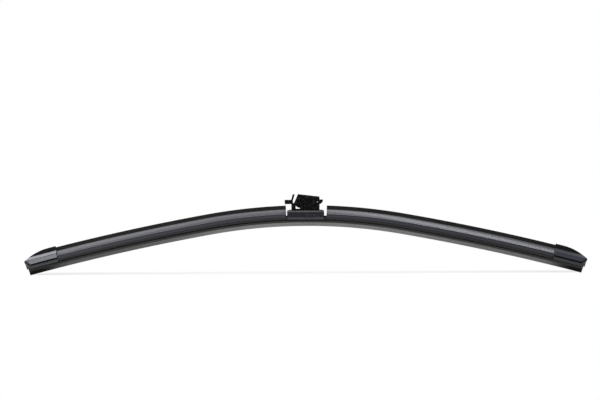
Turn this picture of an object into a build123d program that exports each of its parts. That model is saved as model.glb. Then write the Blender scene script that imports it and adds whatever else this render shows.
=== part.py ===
from build123d import *

import os
from math import cos, radians, sin, tan

# Flat-beam wiper blade with a spoiler, for a hook-ended wiper arm.
# Millimetres. X runs along the blade, Y across it, Z up. The origin is on the seat of the arm in the
# adapter, over the pivot. The blade has its free bend, with the wiping edge down.
# A station is a distance along the wiping edge from mid blade. A level is a height above that edge.

# Blade length and free bend, along the wiping edge
rubber_length = 600.0
bend_radius_mid = 583.0
bend_half_angle_mid = 10.0
bend_radius_outer = 2315.0

# Rubber strip, from the wiping edge up
lip_tip_thickness = 0.8
lip_root_thickness = 2.2
lip_height = 3.7
heel_width = 5.8
heel_flare = 0.9
heel_height = 1.6
heel_bevel = 0.4
neck_thickness = 1.3
neck_height = 0.8
flange_width = 6.8
flange_height = 1.4
head_width = 5.2
head_height = 1.3
head_round = 0.5

# Two spring rails in the grooves of the rubber
rail_width = 4.6
rail_thickness = 1.0
rail_gap = 3.4
rail_end_setback = 5.0
rail_notch_setback = 9.0
rail_notch_length = 3.0
rail_notch_depth = 0.9
groove_play = 0.1

# Passage for rails and rubber through the pieces that ride on them
carrier_play = 0.15
claw_grip = 1.8

# Spoilers, one on each side of the connector
spoiler_wall = 0.95
spoiler_lip = 0.7
claw_bevel = 0.6
skirt_rise = 3.7
ramp_rise = 4.4
ramp_hollow = 0.9
ramp_root_round = 1.0
fin_height = 4.0
fin_thickness = 1.3
fin_round = 0.6
fin_front = 3.3
fin_rake = 0.4
rear_edge_drop = 0.6
core_wall = 1.3
spoiler_gap_left = 0.6
spoiler_gap_right = 2.2

# Bracket that grips the rails at mid blade and carries the pivot pin
bracket_length = 35.3
bracket_wall = 1.1
bracket_lip = 0.6
deck_thickness = 1.2
deck_round = 0.8
post_thickness = 5.6
post_radius = 4.2
post_front = 2.6
post_back = 3.4
pivot_rise = 11.15

# Pivot pin
pin_diameter = 5.0
pin_length = 11.2
pin_chamfer = 0.4
pin_play = 0.05

# Cover round the bracket
cover_play = 0.15
cover_wall = 1.2
cover_end_wall = 1.6
cover_corner = 2.0
cover_rim_rise = 4.2
cover_rim_bevel = 0.35
cover_shelf = 2.4
cover_shelf_thickness = 0.8
cover_foot_proud = 0.7
cover_foot_flat = 0.4
cover_foot_height = 2.2
cover_hook_thickness = 0.5
cover_hook_reach = 0.9
cover_hook_length = 10.0

# Adapter for a hook-ended arm
arm_hook_width = 9.0
arm_hook_play = 0.2
seat_over_pivot = 6.2
cheek_thickness = 1.6
cheek_depth = 13.6
cheek_top_front = 3.8
cheek_top_back = 1.1
cheek_back = 14.95
cheek_front_top = 8.1
cheek_round = 0.7
barrel_radius = 4.5
barrel_ahead = 5.2
slot_lean = 24.0
guard_lean = 18.0
slot_width = 3.4
slot_floor = 5.8
guard_thickness = 2.2
guard_top = 3.6
leg_front = 15.2
leg_back = 10.5
leg_wall = 1.8
thumb_tab_length = 7.1
thumb_tab_top = 2.0
thumb_tab_thickness = 4.4
thumb_tab_width = 5.2
thumb_tab_round = 0.8
thumb_groove_pitch = 1.4
thumb_groove_depth = 0.35
thumb_groove_count = 4
window_length = 4.4
window_top = 8.0
window_slant = 2.25
window_bow = 0.56
window_sill = 1.75
pad_thickness = 0.9
pad_front = 1.2
pad_margin = 1.2
pad_draft = 20.0
post_play = 0.3
post_turn_play = 0.4
snap_slot_width = 4.2
core_out_front = 6.2
core_out_back_wall = 1.5
core_out_roof = 1.6
lug_length = 3.7
lug_top = 1.85
lug_drop = 4.7
lug_width = 6.0
tool_hole_diameter = 1.5
tool_hole_back = 2.15
tool_hole_depth = 4.3

# End caps, each a cover over a clip that holds rail ends and rubber
cap_length = 36.2
cap_proud = 1.3
cap_edge_bevel = 0.5
cap_face_rise = 6.0
cap_face_lean = 0.9
cap_ramp_rise = 2.4
cap_butt_gap = 0.3
cap_flat_top = 8.0
cap_nose_drop = 7.4
cap_nose_length = 9.0
cap_bow_length = 7.6
cap_bow_rise = 3.7
cap_split_gap = 0.2
cap_past_rubber = 2.6
clip_inset = 0.5
clip_rim_rise = 0.1
clip_lip = 1.8
clip_nose_setback = 0.6
clip_nose_rake = 0.3
clip_block_start = 1.5
clip_block_length = 24.0
clip_block_roof = 1.0
clip_block_wall = 0.3
clip_edge_bevel = 0.4
snap_rib_start = 5.0
snap_rib_length = 12.0
snap_rib_height = 0.8
snap_rib_proud = 0.3

# Levels and half widths that follow from the sizes above
heel_level = lip_height + heel_flare
heel_top = heel_level + heel_height
neck_level = heel_top + heel_bevel
flange_level = neck_level + neck_height
groove_level = flange_level + flange_height
rail_level = groove_level + groove_play
rail_middle = rail_level + rail_thickness / 2
rail_top = rail_level + rail_thickness
groove_top = rail_top + groove_play
head_top = groove_top + head_height
rail_outer = rail_gap / 2 + rail_width
web_half = rail_gap / 2 - 2 * groove_play
notch_floor = rail_outer - rail_notch_depth
passage_half = rail_outer + carrier_play
passage_low = rail_level - carrier_play
passage_top = head_top + carrier_play
grip_half = rail_outer - claw_grip
spoiler_tip = rail_top + skirt_rise + ramp_rise + fin_height
deck_top = passage_top + deck_thickness
seat_level = deck_top + pivot_rise + seat_over_pivot
rubber_half = rubber_length / 2
rail_half = rubber_half - rail_end_setback
notch_station = rail_half - rail_notch_setback
mid_half_angle = radians(bend_half_angle_mid)
mid_half_length = bend_radius_mid * mid_half_angle
far = 10 * cap_length


def spine_point(station, level=0.0):
    """Point at a station along the wiping edge, raised square to the edge by level."""
    reach = abs(station)
    if reach <= mid_half_length:
        angle = reach / bend_radius_mid
        x = (bend_radius_mid + level) * sin(angle)
        z = (bend_radius_mid + level) * cos(angle) - bend_radius_mid
    else:
        angle = mid_half_angle + (reach - mid_half_length) / bend_radius_outer
        centre_shift = bend_radius_mid - bend_radius_outer
        x = centre_shift * sin(mid_half_angle) + (bend_radius_outer + level) * sin(angle)
        z = centre_shift * cos(mid_half_angle) + (bend_radius_outer + level) * cos(angle) - bend_radius_mid
    side = -1 if station < 0 else 1
    return Vector(side * x, 0, z - seat_level)


def section_plane(station):
    """Plane square to the blade: local X is across the blade, local Y is the level."""
    foot = spine_point(station)
    up = spine_point(station, 1.0) - foot
    along = Vector(0, 1, 0).cross(up)
    return Plane(origin=foot, x_dir=(0, 1, 0), z_dir=along)


def spine_path(first, last):
    """Tangent arcs of the wiping edge between two stations."""
    joins = [joint for joint in (-mid_half_length, mid_half_length) if first < joint < last]
    stops = [first, *joins, last]
    with BuildLine() as path:
        for start, end in zip(stops, stops[1:]):
            ThreePointArc(spine_point(start), spine_point((start + end) / 2), spine_point(end))
    return path.wire()


def rubber_slot(mouth_half):
    """Room for the rubber: its head above the rails, and a mouth open downwards below them."""
    with Locations((0, rail_middle)):
        Rectangle(head_width + 2 * carrier_play, passage_top - rail_middle, align=(Align.CENTER, Align.MIN))
        Rectangle(2 * mouth_half, rail_middle, align=(Align.CENTER, Align.MAX))


def rail_slot():
    """Room for the two rails."""
    with Locations((0, rail_middle)):
        Rectangle(2 * passage_half, rail_thickness + 2 * carrier_play)


def beam_passage():
    """Section of the room for rails and rubber in a piece that grips the rails from below."""
    with BuildSketch() as passage:
        rail_slot()
        rubber_slot(grip_half)
    return passage.sketch


def spoiler_body():
    """Outer section of a spoiler: claws below, upright skirt, hollow ramp in front and fin behind."""
    half = passage_half + spoiler_wall
    low = passage_low - spoiler_lip
    edge = rail_top + skirt_rise
    root = edge + ramp_rise
    fin_back = fin_front + fin_thickness
    fin_shoulder = spoiler_tip - fin_round
    with BuildSketch() as body:
        with BuildLine():
            Polyline(
                (-half, edge),
                (-half, low + claw_bevel),
                (-half + claw_bevel, low),
                (half - claw_bevel, low),
                (half, low + claw_bevel),
                (half, edge - rear_edge_drop),
                (fin_back, fin_shoulder),
            )
            ThreePointArc(
                (fin_back, fin_shoulder),
                ((fin_front + fin_back) / 2, spoiler_tip),
                (fin_front, fin_shoulder),
            )
            ramp_root = (fin_front - fin_rake, root)
            Line((fin_front, fin_shoulder), ramp_root)
            SagittaArc(ramp_root, (-half, edge), -ramp_hollow)
        make_face()
        corner = body.vertices().sort_by_distance((*ramp_root, 0))[0]
        fillet(corner, ramp_root_round)
    return body.sketch


def spoiler_core():
    """Hollow core of a spoiler, over the rubber's head and under the ramp, highest below the fin."""
    half = passage_half + spoiler_wall - core_wall
    floor = passage_top + core_wall
    roof = rail_top + skirt_rise + ramp_rise - 2 * core_wall
    with BuildSketch() as core:
        with BuildLine():
            Polyline(
                (-half, floor),
                (half, floor),
                (fin_front + fin_thickness, roof),
                (fin_front - fin_rake, roof),
                close=True,
            )
        make_face()
    return core.sketch


passage_section = beam_passage()
spoiler_outline = spoiler_body()
spoiler_hollow = spoiler_core()

# Rubber strip, one extrusion bent with the rails
rubber_path = spine_path(-rubber_half, rubber_half)
with BuildPart() as wiper_rubber:
    with BuildSketch(section_plane(-rubber_half)):
        with BuildLine():
            Polyline(
                (0, 0),
                (lip_tip_thickness / 2, 0),
                (lip_root_thickness / 2, lip_height),
                (heel_width / 2, heel_level),
                (heel_width / 2, heel_top),
                (neck_thickness / 2, neck_level),
                (neck_thickness / 2, flange_level),
                (flange_width / 2, flange_level),
                (flange_width / 2, groove_level),
                (web_half, groove_level),
                (web_half, groove_top),
                (head_width / 2, groove_top),
                (head_width / 2, head_top - head_round),
                (head_width / 2 - head_round, head_top),
                (0, head_top),
            )
            mirror(about=Plane.YZ)
        make_face()
    sweep(path=rubber_path)
wiper_rubber.part.label = "wiper_rubber"

# Spring rails, one in each groove, notched near their ends for the clips
rail_path = spine_path(-rail_half, rail_half)
rails = {}
for name, side in (("spring_rail_front", -1), ("spring_rail_rear", 1)):
    with BuildPart() as rail:
        with BuildSketch(section_plane(-rail_half)):
            with Locations((side * (rail_gap + rail_width) / 2, rail_middle)):
                Rectangle(rail_width, rail_thickness)
        sweep(path=rail_path)
        for end in (-1, 1):
            with BuildSketch(section_plane(end * notch_station)):
                with Locations((side * rail_outer, rail_middle)):
                    Rectangle(2 * rail_notch_depth, 2 * rail_thickness)
            extrude(amount=rail_notch_length / 2, both=True, mode=Mode.SUBTRACT)
    rail.part.label = name
    rails[name] = rail.part

# Spoilers, from the connector to the end caps
bracket_end = spine_point(bracket_length / 2, deck_top).X
cover_half = bracket_end + cover_play + cover_end_wall
cap_inboard = rubber_half + cap_past_rubber - cap_length
spoiler_end = cap_inboard - cap_butt_gap
spoilers = {}
for name, first, last in (
    ("spoiler_left", -spoiler_end, -cover_half - spoiler_gap_left),
    ("spoiler_right", cover_half + spoiler_gap_right, spoiler_end),
):
    spoiler_path = spine_path(first, last)
    with BuildPart() as spoiler:
        with BuildSketch(section_plane(first)):
            add(spoiler_outline)
            add(passage_section, mode=Mode.SUBTRACT)
            add(spoiler_hollow, mode=Mode.SUBTRACT)
        sweep(path=spoiler_path)
    spoiler.part.label = name
    spoilers[name] = spoiler.part

# Bracket with claws round the rails and a post for the pin
bracket_half = passage_half + bracket_wall
bracket_low = passage_low - bracket_lip
pivot_z = -seat_over_pivot
bracket_path = spine_path(-bracket_length / 2, bracket_length / 2)
with BuildPart() as connector_bracket:
    with BuildSketch(section_plane(-bracket_length / 2)) as bracket_section:
        with Locations((0, bracket_low)):
            Rectangle(2 * bracket_half, deck_top - bracket_low, align=(Align.CENTER, Align.MIN))
        fillet(bracket_section.vertices().group_by(Axis.Z)[-1], deck_round)
        add(passage_section, mode=Mode.SUBTRACT)
    sweep(path=bracket_path)
    with BuildSketch(Plane.XZ):
        with Locations((0, pivot_z)):
            Circle(post_radius)
        with BuildLine():
            Polyline(
                (-post_front, pivot_z),
                (-post_front, pivot_z - pivot_rise - deck_thickness / 2),
                (post_back, pivot_z - pivot_rise - deck_thickness / 2),
                (post_back, pivot_z),
                close=True,
            )
        make_face()
        with Locations((0, pivot_z)):
            Circle(pin_diameter / 2, mode=Mode.SUBTRACT)
    extrude(amount=post_thickness / 2, both=True)
connector_bracket.part.label = "connector_bracket"

# Pivot pin through the post
with BuildPart() as pivot_pin:
    with BuildSketch(Plane.XZ):
        with Locations((0, pivot_z)):
            Circle(pin_diameter / 2)
    extrude(amount=pin_length / 2, both=True)
    chamfer(pivot_pin.edges().filter_by(GeomType.CIRCLE), pin_chamfer)
pivot_pin.part.label = "pivot_pin"

# Cover: a moulded frame round the bracket, open on top for the adapter
pocket_half = bracket_half + cover_play
cover_wide = pocket_half + cover_wall
cover_foot_half = cover_wide + cover_foot_proud
hook_top_z = spine_point(cover_hook_length / 2, bracket_low).Z - cover_play
cover_low_z = hook_top_z - cover_hook_thickness
cover_top_z = deck_top + cover_rim_rise - seat_level
pocket_length = 2 * (bracket_end + cover_play)
shelf_inner = bracket_end - cover_shelf
shelf_low_z = spine_point(shelf_inner, deck_top).Z + cover_play
cover_path = spine_path(-cover_half, cover_half)
with BuildPart() as connector_cover:
    with BuildSketch(Plane.YZ):
        with BuildLine():
            Polyline(
                (0, cover_low_z),
                (cover_foot_half, cover_low_z),
                (cover_foot_half, cover_low_z + cover_foot_flat),
                (cover_wide, cover_low_z + cover_foot_height),
                (cover_wide, cover_top_z),
                (0, cover_top_z),
            )
            mirror(about=Plane.YZ)
        make_face()
    extrude(amount=cover_half, both=True)
    with BuildSketch(Plane.XY.offset(cover_low_z)):
        RectangleRounded(2 * cover_half, 2 * cover_foot_half, cover_corner)
    extrude(amount=cover_top_z - cover_low_z, mode=Mode.INTERSECT)
    with BuildSketch(Plane.XY.offset(cover_top_z)):
        Rectangle(2 * shelf_inner, 2 * pocket_half)
    extrude(amount=cover_low_z - cover_top_z, mode=Mode.SUBTRACT)
    with BuildSketch(Plane.XY.offset(cover_top_z)):
        Rectangle(pocket_length, 2 * pocket_half)
    extrude(amount=shelf_low_z + cover_shelf_thickness - cover_top_z, mode=Mode.SUBTRACT)
    with BuildSketch(Plane.XY.offset(cover_low_z)):
        Rectangle(pocket_length, 2 * pocket_half)
    extrude(amount=shelf_low_z - cover_low_z, mode=Mode.SUBTRACT)
    with BuildSketch(section_plane(-cover_half)):
        add(passage_section)
    sweep(path=cover_path, mode=Mode.SUBTRACT)
    chamfer(connector_cover.edges().group_by(Axis.Z)[-1], cover_rim_bevel)
    with BuildSketch(Plane.XY.offset(cover_low_z)):
        for side in (-1, 1):
            with Locations((0, side * (pocket_half - cover_hook_reach / 2))):
                Rectangle(cover_hook_length, cover_hook_reach)
    extrude(amount=cover_hook_thickness)
connector_cover.part.label = "connector_cover"

# Adapter: channel and barrel for the arm's hook, guard rib, thumb tab and snap sockets for the pin
channel_half = arm_hook_width / 2 + arm_hook_play
cheek_half = channel_half + cheek_thickness
lean = tan(radians(slot_lean))
slot_back_foot = -cheek_front_top - (cheek_top_front + slot_floor) * lean
guard_back_top = -cheek_front_top - (cheek_top_front - guard_top) * lean - slot_width
guard_back_foot = guard_back_top - (guard_top + slot_floor) * tan(radians(guard_lean))
socket_half = pin_length / 2 + post_play
with BuildPart() as adapter:
    # Side plates with the hook slot, the guard rib in front of it and the window
    with BuildSketch(Plane.XZ) as cheek:
        with BuildLine():
            Polyline(
                (-leg_front, -cheek_depth),
                (-leg_front, -thumb_tab_top),
                (guard_back_top - guard_thickness, guard_top),
                (guard_back_top, guard_top),
                (guard_back_foot, -slot_floor),
                (slot_back_foot, -slot_floor),
                (-cheek_front_top, cheek_top_front),
                (cheek_back, cheek_top_back),
                (cheek_back, -cheek_depth),
                close=True,
            )
        make_face()
        with BuildLine():
            Polyline(
                (-leg_back + window_length, -window_top - window_slant),
                (-leg_back + window_length, -cheek_depth + window_sill),
                (-leg_back, -cheek_depth + window_sill),
                (-leg_back, -window_top),
            )
            SagittaArc(
                (-leg_back, -window_top),
                (-leg_back + window_length, -window_top - window_slant),
                -window_bow,
            )
        make_face(mode=Mode.SUBTRACT)
        top_corners = [(-cheek_front_top, cheek_top_front, 0), (cheek_back, cheek_top_back, 0)]
        fillet([cheek.vertices().sort_by_distance(corner)[0] for corner in top_corners], cheek_round)
    extrude(amount=cheek_half, both=True)
    # Open channel between the plates, down to the seat, the barrel and the bracket
    with BuildSketch(Plane.XZ):
        Rectangle(far, far)
        with Locations((-barrel_ahead, -barrel_radius)):
            Circle(barrel_radius, mode=Mode.SUBTRACT)
        with Locations((-barrel_ahead, 0)):
            Rectangle(far, 2 * barrel_radius, align=(Align.MIN, Align.MAX), mode=Mode.SUBTRACT)
        with BuildLine():
            Polyline(
                (-far, far),
                (guard_back_top, guard_top),
                (guard_back_foot, -slot_floor),
                (-leg_front + leg_wall, -slot_floor - leg_wall),
                (-leg_front + leg_wall, -far),
                (-far, -far),
                close=True,
            )
        make_face(mode=Mode.SUBTRACT)
    extrude(amount=channel_half, both=True, mode=Mode.SUBTRACT)
    # Raised pads on the outside of the cheeks
    for side in (-1, 1):
        with BuildSketch(Plane.XZ.offset(side * cheek_half)):
            with BuildLine():
                Polyline(
                    (-pad_front, -cheek_depth + pad_margin),
                    (cheek_back, -cheek_depth + pad_margin),
                    (cheek_back, cheek_top_back),
                    (-pad_front, cheek_top_back),
                    close=True,
                )
            make_face()
        extrude(amount=side * pad_thickness, taper=pad_draft)
    # Thumb tab in front and lug behind
    with BuildSketch(Plane.XZ) as thumb_tab:
        with Locations((-leg_front + leg_wall, -thumb_tab_top)):
            Rectangle(thumb_tab_length + leg_wall, thumb_tab_thickness, align=(Align.MAX, Align.MAX))
        fillet(thumb_tab.vertices().group_by(Axis.X)[0], thumb_tab_round)
    extrude(amount=thumb_tab_width / 2, both=True)
    with BuildSketch(Plane.XZ):
        for step in range(thumb_groove_count):
            with Locations((-leg_front - thumb_tab_length + (step + 1) * thumb_groove_pitch, -thumb_tab_top)):
                RegularPolygon(thumb_groove_depth, 4)
    extrude(amount=thumb_tab_width / 2, both=True, mode=Mode.SUBTRACT)
    with BuildSketch(Plane.XZ):
        with BuildLine():
            Polyline(
                (cheek_back, -lug_top - lug_drop),
                (cheek_back - core_out_back_wall, -lug_top - lug_drop),
                (cheek_back - core_out_back_wall, -lug_top),
                (cheek_back + lug_length, -lug_top),
            )
            TangentArc(
                (cheek_back + lug_length, -lug_top),
                (cheek_back, -lug_top - lug_drop),
                tangent=(0, -1),
            )
        make_face()
    extrude(amount=lug_width / 2, both=True)
    # Room for the post, sockets for the pin with a snap slot from below, and a cored-out back
    with BuildSketch(Plane.XZ):
        with Locations((0, pivot_z)):
            Circle(post_radius + post_turn_play)
            Rectangle(2 * (post_radius + post_turn_play), far, align=(Align.CENTER, Align.MAX))
        with Locations((core_out_front, -core_out_roof)):
            Rectangle(
                cheek_back - core_out_back_wall - core_out_front,
                far,
                align=(Align.MIN, Align.MAX),
            )
    extrude(amount=post_thickness / 2 + post_play, both=True, mode=Mode.SUBTRACT)
    with BuildSketch(Plane.XZ):
        with Locations((0, pivot_z)):
            Circle(pin_diameter / 2 + pin_play)
            Rectangle(snap_slot_width, far, align=(Align.CENTER, Align.MAX))
    extrude(amount=socket_half, both=True, mode=Mode.SUBTRACT)
    # Small cross hole near the back, through both cheeks
    with BuildSketch(Plane.XZ):
        with Locations((cheek_back - tool_hole_back, -tool_hole_depth)):
            Circle(tool_hole_diameter / 2)
    extrude(amount=far, both=True, mode=Mode.SUBTRACT)
adapter.part.label = "adapter"

# End caps, modelled on the right end in a straight frame and mirrored to the left
cap_middle = section_plane(cap_inboard + cap_length / 2)
cap_along = cap_middle.z_dir
cap_up = cap_middle.y_dir
cap_origin = cap_middle.origin - cap_along * (cap_length / 2)
cap_section = Plane(origin=cap_origin, x_dir=(0, 1, 0), z_dir=cap_along)
cap_side = Plane(origin=cap_origin, x_dir=cap_along, z_dir=cap_along.cross(cap_up))
cap_plan = Plane(origin=cap_origin, x_dir=cap_along, z_dir=cap_up)
cap_half = passage_half + spoiler_wall + cap_proud
cap_tip = spoiler_tip + cap_proud
clip_rim = rail_top + clip_rim_rise
clip_low = passage_low - clip_lip
cap_low = clip_rim + cap_split_gap
bow_top = cap_low + cap_bow_rise
block_half = passage_half + clip_block_wall
block_top = passage_top + clip_block_roof
block_end = clip_block_start + clip_block_length
snap_rib_level = (cap_low + block_top) / 2
rail_slot_depth = rail_half - cap_inboard + 2 * carrier_play
rubber_slot_depth = rubber_half - cap_inboard + 2 * carrier_play


def cap_side_outline():
    """Side outline of a cap's cover: flat top falling to the nose, lower edge rising like a bow."""
    with BuildSketch() as side:
        with BuildLine():
            Polyline(
                (cap_length - cap_bow_length, cap_low),
                (0, cap_low),
                (0, cap_tip),
                (cap_flat_top, cap_tip),
            )
            TangentArc((cap_flat_top, cap_tip), (cap_length, cap_tip - cap_nose_drop), tangent=(1, 0))
            Line((cap_length, cap_tip - cap_nose_drop), (cap_length, bow_top))
            TangentArc((cap_length - cap_bow_length, cap_low), (cap_length, bow_top), tangent=(1, 0))
        make_face()
    return side.sketch


def cap_body():
    """Outer section of a cap, proud of the spoiler all round: leaning front face, flat ramp and fin."""
    edge = cap_low + cap_face_rise
    front = fin_front - cap_proud / 2
    back = fin_front + fin_thickness + cap_proud / 2
    front_edge = (-cap_half + cap_face_lean, edge)
    rear_edge = (cap_half, rail_top + skirt_rise - rear_edge_drop)
    with BuildSketch() as body:
        with BuildLine():
            Polyline(
                (front, cap_tip - fin_round),
                (front - fin_rake, edge + cap_ramp_rise),
                front_edge,
                (-cap_half, cap_low),
                (-cap_half, clip_low),
                (cap_half, clip_low),
                rear_edge,
                (back, cap_tip - fin_round),
            )
            ThreePointArc(
                (back, cap_tip - fin_round),
                ((front + back) / 2, cap_tip),
                (front, cap_tip - fin_round),
            )
        make_face()
        for corner in (front_edge, rear_edge):
            chamfer(body.vertices().sort_by_distance((*corner, 0))[0], cap_edge_bevel)
    return body.sketch


def cap_plan_outline(inset=0.0):
    """Plan outline of a cap: parallel sides and a long rounded nose."""
    with BuildSketch() as plan:
        Rectangle(cap_length - cap_nose_length, 2 * (cap_half - inset), align=(Align.MIN, Align.CENTER))
        with Locations((cap_length - cap_nose_length, 0)):
            Ellipse(cap_nose_length - inset, cap_half - inset)
        Rectangle(cap_length, 2 * cap_half, align=(Align.MIN, Align.CENTER), mode=Mode.INTERSECT)
    return plan.sketch


def snap_ribs(play=0.0):
    """Section of the two ribs on the flanks of the clip's block, or of their grooves in the cover."""
    with Locations((0, snap_rib_level)):
        Rectangle(2 * (block_half + snap_rib_proud + play), snap_rib_height + 2 * play)


cap_outline = cap_side_outline()

with BuildPart() as end_cap_right:
    with BuildSketch(cap_section):
        add(cap_body())
    extrude(amount=cap_length)
    with BuildSketch(cap_side):
        add(cap_outline)
    extrude(amount=far, both=True, mode=Mode.INTERSECT)
    with BuildSketch(cap_plan):
        add(cap_plan_outline())
    extrude(amount=far, mode=Mode.INTERSECT)
    # Room for the clip's block and its snap ribs, and a core that thins the walls
    with BuildSketch(cap_section):
        Rectangle(2 * (block_half + carrier_play), block_top + carrier_play, align=(Align.CENTER, Align.MIN))
    extrude(amount=block_end + carrier_play, mode=Mode.SUBTRACT)
    with BuildSketch(cap_section.offset(snap_rib_start - carrier_play)):
        snap_ribs(carrier_play)
    extrude(amount=snap_rib_length + 2 * carrier_play, mode=Mode.SUBTRACT)
    with BuildSketch(cap_section):
        Rectangle(head_width + 2 * carrier_play, passage_top, align=(Align.CENTER, Align.MIN))
    extrude(amount=rubber_slot_depth, mode=Mode.SUBTRACT)
    with BuildSketch(cap_section):
        add(spoiler_hollow)
    extrude(amount=cap_length - cap_nose_length, mode=Mode.SUBTRACT)
end_cap_right.part.label = "end_cap_right"

with BuildPart() as end_clip_right:
    with BuildSketch(cap_side) as clip_side:
        with BuildLine():
            Polyline(
                (0, clip_low),
                (cap_length - clip_nose_setback - clip_nose_rake, clip_low),
                (cap_length - clip_nose_setback, bow_top),
                (0, bow_top),
                close=True,
            )
        make_face()
        add(offset(cap_outline, cap_split_gap, kind=Kind.INTERSECTION, mode=Mode.PRIVATE), mode=Mode.SUBTRACT)
    extrude(amount=far, both=True)
    with BuildSketch(cap_plan):
        add(cap_plan_outline(clip_inset))
    extrude(amount=far, mode=Mode.INTERSECT)
    flank_edges = end_clip_right.edges().filter_by(Axis((0, 0, 0), cap_along)).group_by(Axis.Y)
    chamfer([flank.sort_by(Axis.Z)[0] for flank in (flank_edges[0], flank_edges[-1])], clip_edge_bevel)
    # Block that closes over the rails inside the cover
    with BuildSketch(cap_section.offset(clip_block_start)):
        with Locations((0, rail_middle)):
            Rectangle(2 * block_half, block_top - rail_middle, align=(Align.CENTER, Align.MIN))
    extrude(amount=clip_block_length)
    with BuildSketch(cap_section.offset(snap_rib_start)):
        snap_ribs()
    extrude(amount=snap_rib_length)
    # Slots for the rails, with a lug for each notch, and for the rubber
    with BuildSketch(cap_section):
        rail_slot()
    extrude(amount=rail_slot_depth, mode=Mode.SUBTRACT)
    with BuildSketch(cap_section.offset(notch_station - cap_inboard)):
        for side in (-1, 1):
            with Locations((side * (notch_floor + carrier_play), rail_middle)):
                lug_align = (Align.MIN if side > 0 else Align.MAX, Align.CENTER)
                Rectangle(rail_notch_depth, rail_thickness + 4 * carrier_play, align=lug_align)
    extrude(amount=rail_notch_length / 2 - carrier_play, both=True)
    with BuildSketch(cap_section):
        rubber_slot(flange_width / 2 + carrier_play)
    extrude(amount=rubber_slot_depth, mode=Mode.SUBTRACT)
end_clip_right.part.label = "end_clip_right"

with BuildPart() as end_cap_left:
    mirror(end_cap_right.part, about=Plane.YZ)
end_cap_left.part.label = "end_cap_left"

with BuildPart() as end_clip_left:
    mirror(end_clip_right.part, about=Plane.YZ)
end_clip_left.part.label = "end_clip_left"

os.makedirs("parts", exist_ok=True)
pieces = [
    wiper_rubber.part,
    *rails.values(),
    *spoilers.values(),
    connector_bracket.part,
    pivot_pin.part,
    connector_cover.part,
    adapter.part,
    end_cap_left.part,
    end_cap_right.part,
    end_clip_left.part,
    end_clip_right.part,
]
for piece in pieces:
    export_step(piece, f"parts/{piece.label}.step")
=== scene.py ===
"""Soft pieces, finishes, studio and camera for a flat-beam wiper blade, laid out as an add-on.

Metres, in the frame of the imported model: X along the blade, Y across it, Z up.
A station is a distance along the wiping edge from mid blade. A level is a height above that edge.
"""

import math

import bmesh
import bpy
from mathutils import Matrix, Vector


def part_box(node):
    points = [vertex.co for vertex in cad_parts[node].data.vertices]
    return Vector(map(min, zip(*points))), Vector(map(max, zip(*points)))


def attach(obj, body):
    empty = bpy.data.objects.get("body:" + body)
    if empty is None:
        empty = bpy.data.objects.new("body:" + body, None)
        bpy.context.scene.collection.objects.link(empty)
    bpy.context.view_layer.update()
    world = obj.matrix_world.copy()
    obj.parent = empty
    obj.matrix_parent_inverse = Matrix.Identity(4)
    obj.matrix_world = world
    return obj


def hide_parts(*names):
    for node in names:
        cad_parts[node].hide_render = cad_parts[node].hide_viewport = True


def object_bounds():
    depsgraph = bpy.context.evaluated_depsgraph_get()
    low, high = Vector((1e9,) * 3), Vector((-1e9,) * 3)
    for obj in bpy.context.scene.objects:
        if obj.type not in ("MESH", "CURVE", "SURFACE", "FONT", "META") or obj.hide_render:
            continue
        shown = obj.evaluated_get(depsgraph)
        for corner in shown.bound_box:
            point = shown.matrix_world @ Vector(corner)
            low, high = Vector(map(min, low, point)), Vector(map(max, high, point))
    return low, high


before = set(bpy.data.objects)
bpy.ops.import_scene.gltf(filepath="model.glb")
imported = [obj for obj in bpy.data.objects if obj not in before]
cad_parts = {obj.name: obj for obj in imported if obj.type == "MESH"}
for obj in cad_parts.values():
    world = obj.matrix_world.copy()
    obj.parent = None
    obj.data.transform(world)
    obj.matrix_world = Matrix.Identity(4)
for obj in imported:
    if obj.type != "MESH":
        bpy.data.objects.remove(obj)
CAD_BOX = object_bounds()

bl_info = {
    "name": "Flat-beam wiper blade",
    "version": (1, 0, 0),
    "blender": (4, 5, 0),
    "location": "View3D > Sidebar > Wiper blade",
    "description": "Models the soft pieces of a wiper blade and finishes all its surfaces",
    "category": "Object",
}

BLADE_BODY = "blade"
MILLIMETRE = 0.001
WELD_DISTANCE = 0.001 * MILLIMETRE
PICK_DISTANCE = 0.01 * MILLIMETRE
SMOOTH_ANGLE = math.radians(35)


def length(name, description, default):
    """A length property, in metres."""
    return bpy.props.FloatProperty(
        name=name, description=description, default=default, unit="LENGTH", precision=5
    )


def tint(name, description, default):
    """A colour property."""
    return bpy.props.FloatVectorProperty(
        name=name, description=description, default=default, subtype="COLOR", size=3, min=0, max=1
    )


def share(name, description, default):
    """A property between 0 and 1."""
    return bpy.props.FloatProperty(
        name=name, description=description, default=default, subtype="FACTOR", min=0, max=1
    )


class BladeBend(bpy.types.PropertyGroup):
    """Free bend of the blade along its wiping edge."""

    edge_height: length("Edge height", "Height of the wiping edge at mid blade", -0.030)
    mid_radius: length("Middle radius", "Bend radius of the middle stretch", 0.583)
    mid_half_angle: bpy.props.FloatProperty(
        name="Middle half angle",
        description="Half the turn of the middle stretch",
        default=math.radians(10),
        subtype="ANGLE",
    )
    outer_radius: length("Outer radius", "Bend radius of both outer stretches", 2.315)
    span: length("Step", "Length of one step along the bend", 0.005)


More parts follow.
